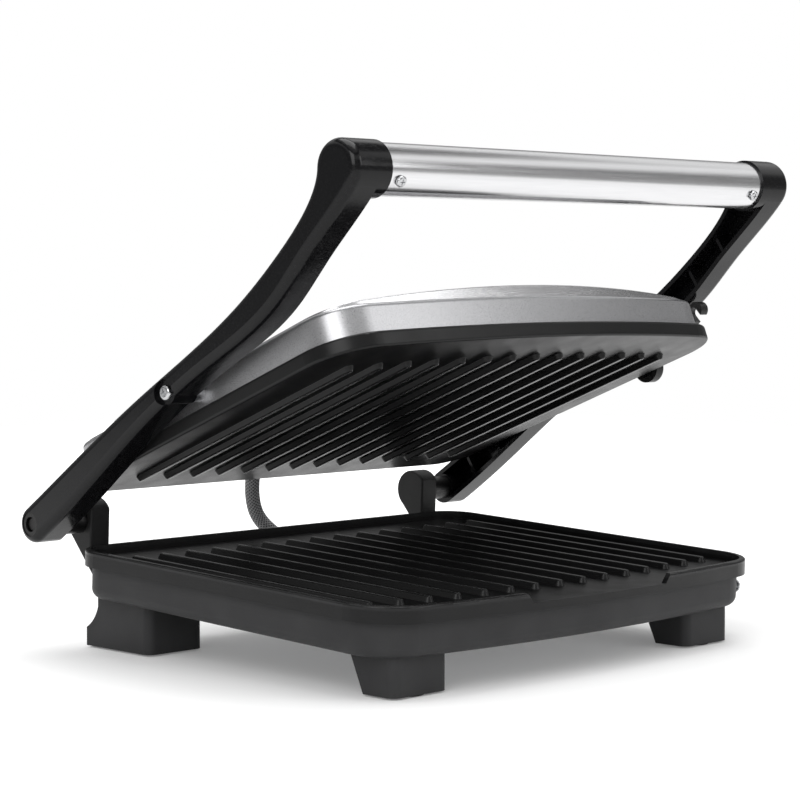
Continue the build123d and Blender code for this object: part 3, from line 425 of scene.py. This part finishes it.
# Lid. A pressed bezel sprayed in silver paint stands on the upper plate, and a crowned panel
# of brushed stainless steel lies in the step along its edge.
SILVER = (0.50, 0.50, 0.51)
SILVER_DARK = (0.34, 0.34, 0.35)
FLAKE = 0.00018
PAINT_ROUGHNESS = (0.27, 0.37)
PAINT_METALLIC = 0.85
PEEL = 0.0025
PEEL_RELIEF = 0.000008
STAINLESS = (0.66, 0.66, 0.67)
STAINLESS_LINE = (0.50, 0.50, 0.51)
PANEL_LINE = 0.00018
PANEL_DRAWN = (0.004, 1, 1)
PANEL_ROUGHNESS = 0.24
PANEL_RELIEF = 0.000004


def flake_paint(name):
    """Silver paint: metal flakes in cells, each with its own tone, under a soft orange peel."""
    material, tree, shader, place = new_finish(name, SILVER, PAINT_ROUGHNESS[0], PAINT_METALLIC)
    flakes = node(tree, "ShaderNodeTexVoronoi", {"Vector": place, "Scale": 1 / FLAKE})
    tone = node(tree, "ShaderNodeSeparateColor", {0: flakes.outputs["Color"]}).outputs[0]
    feed(tree, shader, "Base Color", two_tones(tree, tone, SILVER_DARK, SILVER))
    feed(tree, shader, "Roughness", between(tree, tone, *PAINT_ROUGHNESS, 0.0, 1.0))
    emboss(tree, shader, grain(tree, place, PEEL, detail=1.0), PEEL_RELIEF)
    return material


dress(flake_paint("silver_paint"), "lid_bezel")
dress(brushed_metal("brushed_stainless", STAINLESS, STAINLESS_LINE, PANEL_ROUGHNESS, PANEL_LINE,
                    PANEL_DRAWN, PANEL_RELIEF), "lid_top_panel")


# Lock latch. A black moulded hook lever that hangs under the right arm and drops over the
# stud on the side of the base when the press is carried or stored.
LATCH_BLACK = (0.010, 0.010, 0.010)
LATCH_PALE = (0.018, 0.018, 0.018)
LATCH_ROUGHNESS = 0.34
dress(etched_plastic("latch_plastic", LATCH_BLACK, LATCH_PALE, HOUSING_GRAIN, HOUSING_RELIEF / 2,
                     LATCH_ROUGHNESS), "lock_latch")


# Heating parts. A sheathed element is clipped to the back of each plate, with a thermostat
# under the lower one and a thermal fuse over the upper one. The sheath has turned brown and
# grey with heat, and the insulating bodies are off-white ceramic.
SHEATH_BROWN = (0.085, 0.065, 0.052)
SHEATH_GREY = (0.17, 0.16, 0.155)
CERAMIC = (0.60, 0.56, 0.49)
CERAMIC_STAIN = (0.46, 0.41, 0.34)
STAIN_SPREAD = 0.08
BLOTCH_TO_SKIN = 25
SHEATH_BLOTCH = 0.012
SHEATH_ROUGHNESS = 0.52
SHEATH_METALLIC = 0.7
SHEATH_RELIEF = 0.00001
CERAMIC_BLOTCH = 0.008
CERAMIC_ROUGHNESS = 0.62
CERAMIC_RELIEF = 0.00002


def heat_stained(name, first, second, size, roughness, metallic, relief):
    """Blotches of two tones, as heat leaves them, over a fine rough skin."""
    material, tree, shader, place = new_finish(name, first, roughness, metallic)
    blotch = between(tree, grain(tree, place, size, detail=4.0), 0.0, 1.0)
    feed(tree, shader, "Base Color", two_tones(tree, blotch, first, second))
    feed(tree, shader, "Roughness", between(tree, blotch, roughness - STAIN_SPREAD,
                                            roughness + STAIN_SPREAD, 0.0, 1.0))
    emboss(tree, shader, grain(tree, place, size / BLOTCH_TO_SKIN), relief)
    return material


dress(heat_stained("element_sheath", SHEATH_BROWN, SHEATH_GREY, SHEATH_BLOTCH, SHEATH_ROUGHNESS,
                   SHEATH_METALLIC, SHEATH_RELIEF), "lower_element", "upper_element")
dress(plated_sheet, "lower_element_clips", "upper_element_clips")
dress(heat_stained("ceramic_body", CERAMIC, CERAMIC_STAIN, CERAMIC_BLOTCH, CERAMIC_ROUGHNESS, 0.0,
                   CERAMIC_RELIEF), "thermostat", "terminal_block", "thermal_fuse")


# Rubber pads under the feet, and the rubber bushes in the rear walls that the jumper and the
# mains lead pass through. Soft, dull and slightly dusty.
RUBBER = (0.014, 0.014, 0.014)
RUBBER_DUST = (0.035, 0.034, 0.033)
DUST_BLOTCH = 0.006
RUBBER_ROUGHNESS = 0.72
RUBBER_RELIEF = 0.00003
dress(heat_stained("rubber", RUBBER, RUBBER_DUST, DUST_BLOTCH, RUBBER_ROUGHNESS, 0.0, RUBBER_RELIEF),
      "foot_pads", "cord_inlet", "base_jumper_grommet", "lid_jumper_grommet")


# Jumper between the base and the lid. The wires of the upper element run in a sleeve of
# grey braided glass fibre, held by a bush at each end, that hangs in a bow behind the hinge.
# It is two lengths that meet in the middle of the bow.
SLEEVE_ROUTE = [(-0.0060, 0.1062, 0.1021), (-0.0060, 0.1143, 0.0989), (-0.0060, 0.1217, 0.0960),
                (0.0020, 0.1333, 0.0697), (0.0120, 0.1349, 0.0548), (0.0240, 0.1170, 0.0405),
                (0.0240, 0.1090, 0.0402), (0.0240, 0.1017, 0.0399)]
ROUTE_STEPS = 48
SLEEVE_RADIUS = 0.0043
BRAID_DEPTH = 0.00035
STRANDS_EACH_WAY = 12
STRAND_PITCH = 0.0023
SLEEVE_AROUND = 120
SLEEVE_STEP = 0.00025
SLEEVE_SHADE = (0.055, 0.055, 0.056)
SLEEVE_GREY = (0.33, 0.33, 0.335)
SLEEVE_ROUGHNESS = (0.62, 0.8)
FIBRE = 0.00025
FIBRE_RELIEF = 0.00004


def smooth_line(name, route):
    """Points along a smooth curve that has the route's points as its control points."""
    curve = bpy.data.curves.new(name, "CURVE")
    curve.dimensions = "3D"
    curve.resolution_u = ROUTE_STEPS
    spline = curve.splines.new("NURBS")
    spline.points.add(len(route) - 1)
    for point, place in zip(spline.points, route):
        point.co = (*place, 1)
    spline.order_u = 3
    spline.use_endpoint_u = True
    holder = bpy.data.objects.new(name, curve)
    mesh = bpy.data.meshes.new_from_object(holder)
    line = np.empty(3 * len(mesh.vertices))
    mesh.vertices.foreach_get("co", line)
    bpy.data.objects.remove(holder)
    bpy.data.curves.remove(curve)
    bpy.data.meshes.remove(mesh)
    return line.reshape(-1, 3)


def grid_mesh(name, points):
    """A closed tube from a grid of points: rows are rings, and the end rings are filled."""
    rows, around = points.shape[:2]
    ring = np.arange(around)
    following = (ring + 1) % around
    row = np.arange(rows - 1)[:, None] * around
    quads = np.stack([row + ring, row + following, row + around + following, row + around + ring], -1)
    faces = quads.reshape(-1, 4).tolist() + [ring[::-1].tolist(), (ring + (rows - 1) * around).tolist()]
    mesh = bpy.data.meshes.new(name)
    mesh.from_pydata(points.reshape(-1, 3).tolist(), [], faces)
    mesh.shade_smooth()
    return mesh


def braided_sleeve(name, line, start, end):
    """Tube round part of a line, from share start to share end of its length.

    Each ring stands square to the line: the middle plus the radius times (cosine of the angle
    times one side direction + sine times the other). The braid raises the radius where either
    of two sets of strands, winding opposite ways, has its crest.
    """
    length = np.concatenate([[0], np.cumsum(np.linalg.norm(np.diff(line, axis=0), axis=1))])
    count = int(round((end - start) * length[-1] / SLEEVE_STEP)) + 1
    along = np.linspace(start, end, count) * length[-1]
    middle = np.stack([np.interp(along, length, line[:, axis]) for axis in range(3)], -1)
    tangent = np.gradient(middle, axis=0)
    tangent /= np.linalg.norm(tangent, axis=1)[:, None]
    side = np.cross(tangent, (1.0, 0.0, 0.0))
    side /= np.linalg.norm(side, axis=1)[:, None]
    other = np.cross(tangent, side)
    angle = np.linspace(0, 2 * pi, SLEEVE_AROUND, endpoint=False)[None, :]
    turn = along[:, None] * pi / STRAND_PITCH
    crest = np.maximum(np.abs(np.cos(STRANDS_EACH_WAY / 2 * angle + turn)),
                       np.abs(np.cos(STRANDS_EACH_WAY / 2 * angle - turn)))
    radius = SLEEVE_RADIUS - BRAID_DEPTH * (1 - crest) ** 0.8
    ring = np.cos(angle)[..., None] * side[:, None, :] + np.sin(angle)[..., None] * other[:, None, :]
    mesh = grid_mesh(name, middle[:, None, :] + radius[..., None] * ring)
    strand = mesh.attributes.new("strand", "FLOAT", "POINT")
    strand.data.foreach_set("value", crest.ravel())
    sleeve = bpy.data.objects.new(name, mesh)
    scene.collection.objects.link(sleeve)
    return sleeve, middle


def braid_finish(name):
    """Glass fibre yarn: pale on the crest of each strand and dark in the gaps between them."""
    material, tree, shader, place = new_finish(name, SLEEVE_GREY, SLEEVE_ROUGHNESS[0])
    strand = node(tree, "ShaderNodeAttribute", attribute_name="strand").outputs["Fac"]
    fibre = grain(tree, place, FIBRE, detail=1.0)
    lit = node(tree, "ShaderNodeMath", {0: between(tree, strand, 0.0, 1.0, 0.72, 0.98),
                                        1: between(tree, fibre, 0.7, 1.0)}, operation="MULTIPLY").outputs[0]
    feed(tree, shader, "Base Color", two_tones(tree, lit, SLEEVE_SHADE, SLEEVE_GREY))
    feed(tree, shader, "Roughness", between(tree, fibre, *SLEEVE_ROUGHNESS))
    emboss(tree, shader, fibre, FIBRE_RELIEF)
    return material


sleeve_line = smooth_line("sleeve_line", SLEEVE_ROUTE)
upper_sleeve, upper_middle = braided_sleeve("jumper_upper_length", sleeve_line, 0.0, 0.5)
lower_sleeve, lower_middle = braided_sleeve("jumper_lower_length", sleeve_line, 0.5, 1.0)
braid = braid_finish("glass_fibre_braid")
for sleeve in (upper_sleeve, lower_sleeve):
    sleeve.data.materials.append(braid)
    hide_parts("jumper_sleeve")
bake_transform(upper_sleeve)
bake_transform(lower_sleeve)
